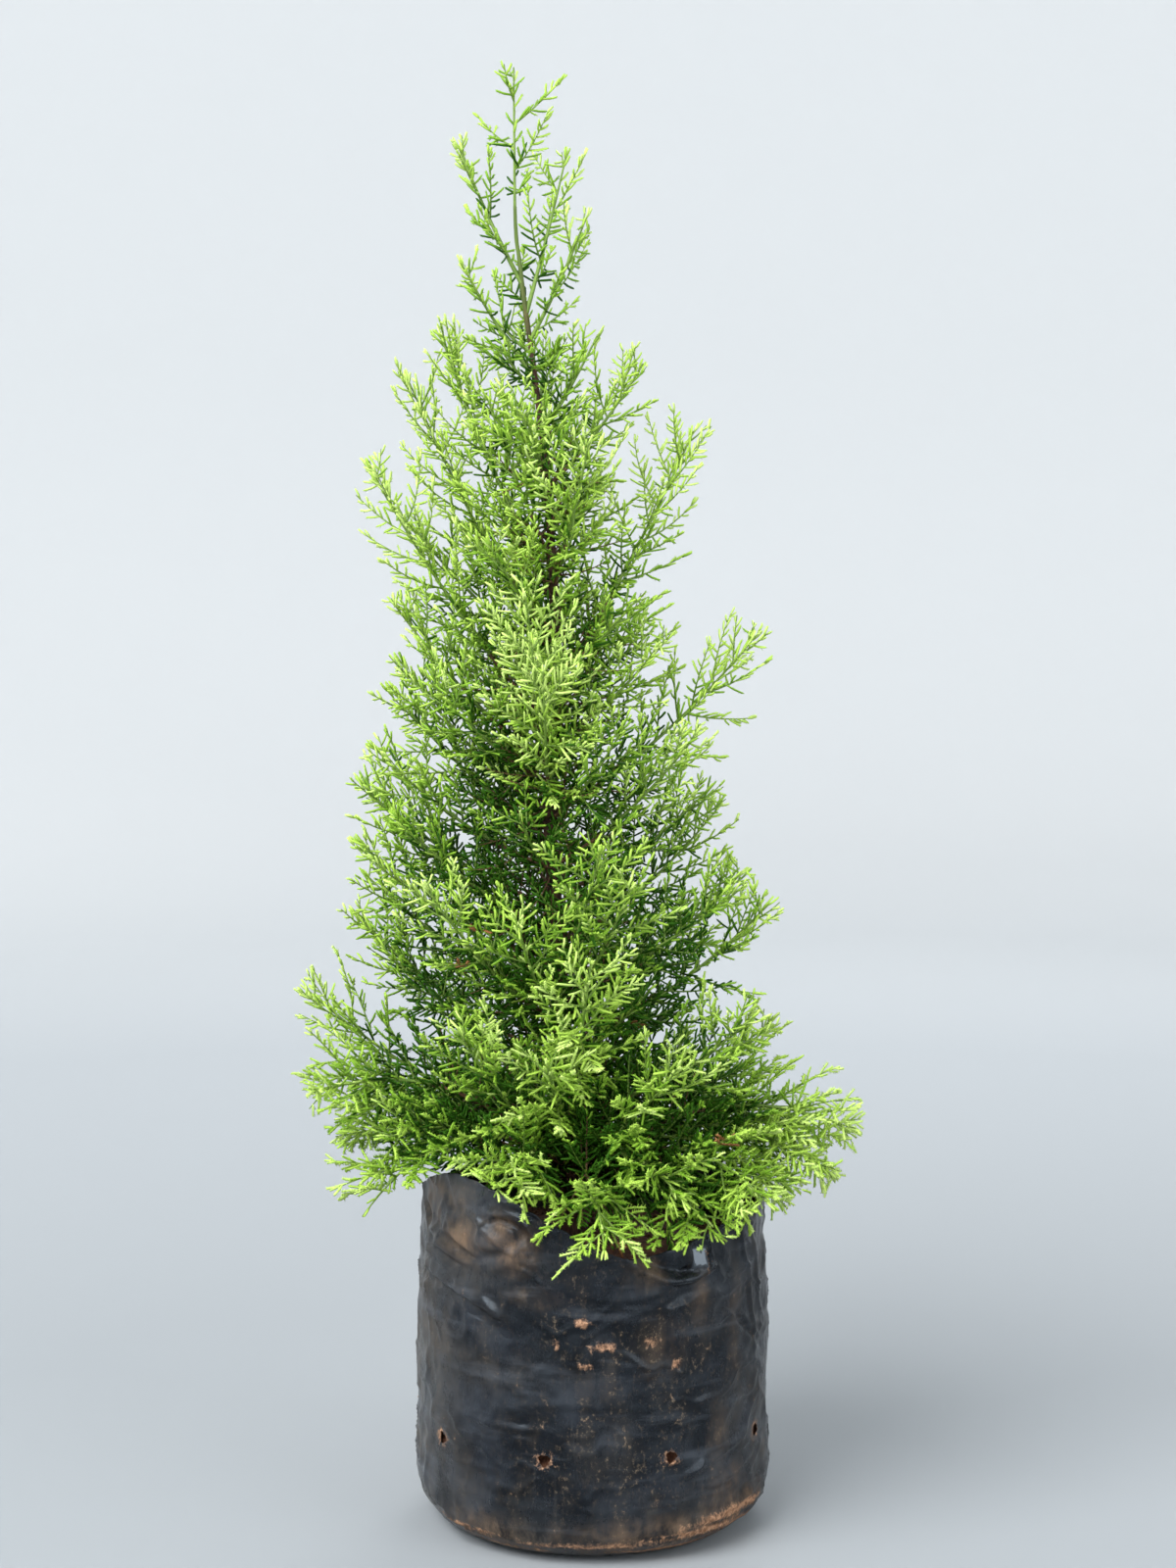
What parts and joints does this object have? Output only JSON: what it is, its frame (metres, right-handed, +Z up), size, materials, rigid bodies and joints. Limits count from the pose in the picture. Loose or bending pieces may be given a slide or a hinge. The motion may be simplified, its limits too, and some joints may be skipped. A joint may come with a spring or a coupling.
{
  "type": "potted lemon cypress",
  "caption": "Young lemon cypress with upright feathery foliage, growing in a soft black nursery bag filled with soil.",
  "frame": {"origin": "centre of the bag's flat underside", "axes": "+Z up along the plant; +X right and +Y away when the plant is seen from its front"},
  "size_m": [0.2672, 0.2161, 0.677],
  "materials": {
    "film": "soft black film, semi-gloss, dusty and creased",
    "earth": "damp crumbly red-brown soil",
    "bark": "thin red-brown bark",
    "needles": "soft lime to mid green needles"
  },
  "bodies": {
    "root": {"bag": "film", "bough_base_back_left": "bark", "bough_far_left": "bark", "bough_skirt_back": "bark", "bough_skirt_back_right": "bark", "bough_skirt_far_left": "bark", "bough_skirt_far_right": "bark", "bough_skirt_front": "bark", "bough_skirt_left": "bark", "bough_skirt_right": "bark", "foliage_base_back_left": "needles", "foliage_base_back_right": "needles", "foliage_base_front": "needles", "foliage_base_front_right": "needles", "foliage_base_left": "needles", "foliage_base_left_front": "needles", "foliage_base_right": "needles", "foliage_base_right_front": "needles", "foliage_crown_left": "needles", "foliage_crown_right": "needles", "foliage_crown_right_low": "needles", "foliage_far_left": "needles", "foliage_front_column": "needles", "foliage_high_right": "needles", "foliage_leader": "needles", "foliage_lower_back": "needles", "foliage_lower_front": "needles", "foliage_lower_left": "needles", "foliage_lower_left_front": "needles", "foliage_lower_right": "needles", "foliage_middle_back": "needles", "foliage_middle_left": "needles", "foliage_middle_right": "needles", "foliage_right_arm": "needles", "foliage_right_low_arm": "needles", "foliage_shoulder_left": "needles", "foliage_shoulder_right": "needles", "foliage_skirt_back": "needles", "foliage_skirt_back_right": "needles", "foliage_skirt_far_left": "needles", "foliage_skirt_far_right": "needles", "foliage_skirt_front": "needles", "foliage_skirt_front_left": "needles", "foliage_skirt_front_right": "needles", "foliage_skirt_left": "needles", "foliage_skirt_right": "needles", "foliage_steep_right": "needles", "foliage_upper_back": "needles", "foliage_upper_front": "needles", "foliage_upper_left": "needles", "foliage_upper_left_front": "needles", "foliage_upper_left_inner": "needles", "foliage_upper_left_low": "needles", "foliage_upper_right": "needles", "soil": "earth", "trunk": "bark"}
  },
  "joints": []
}
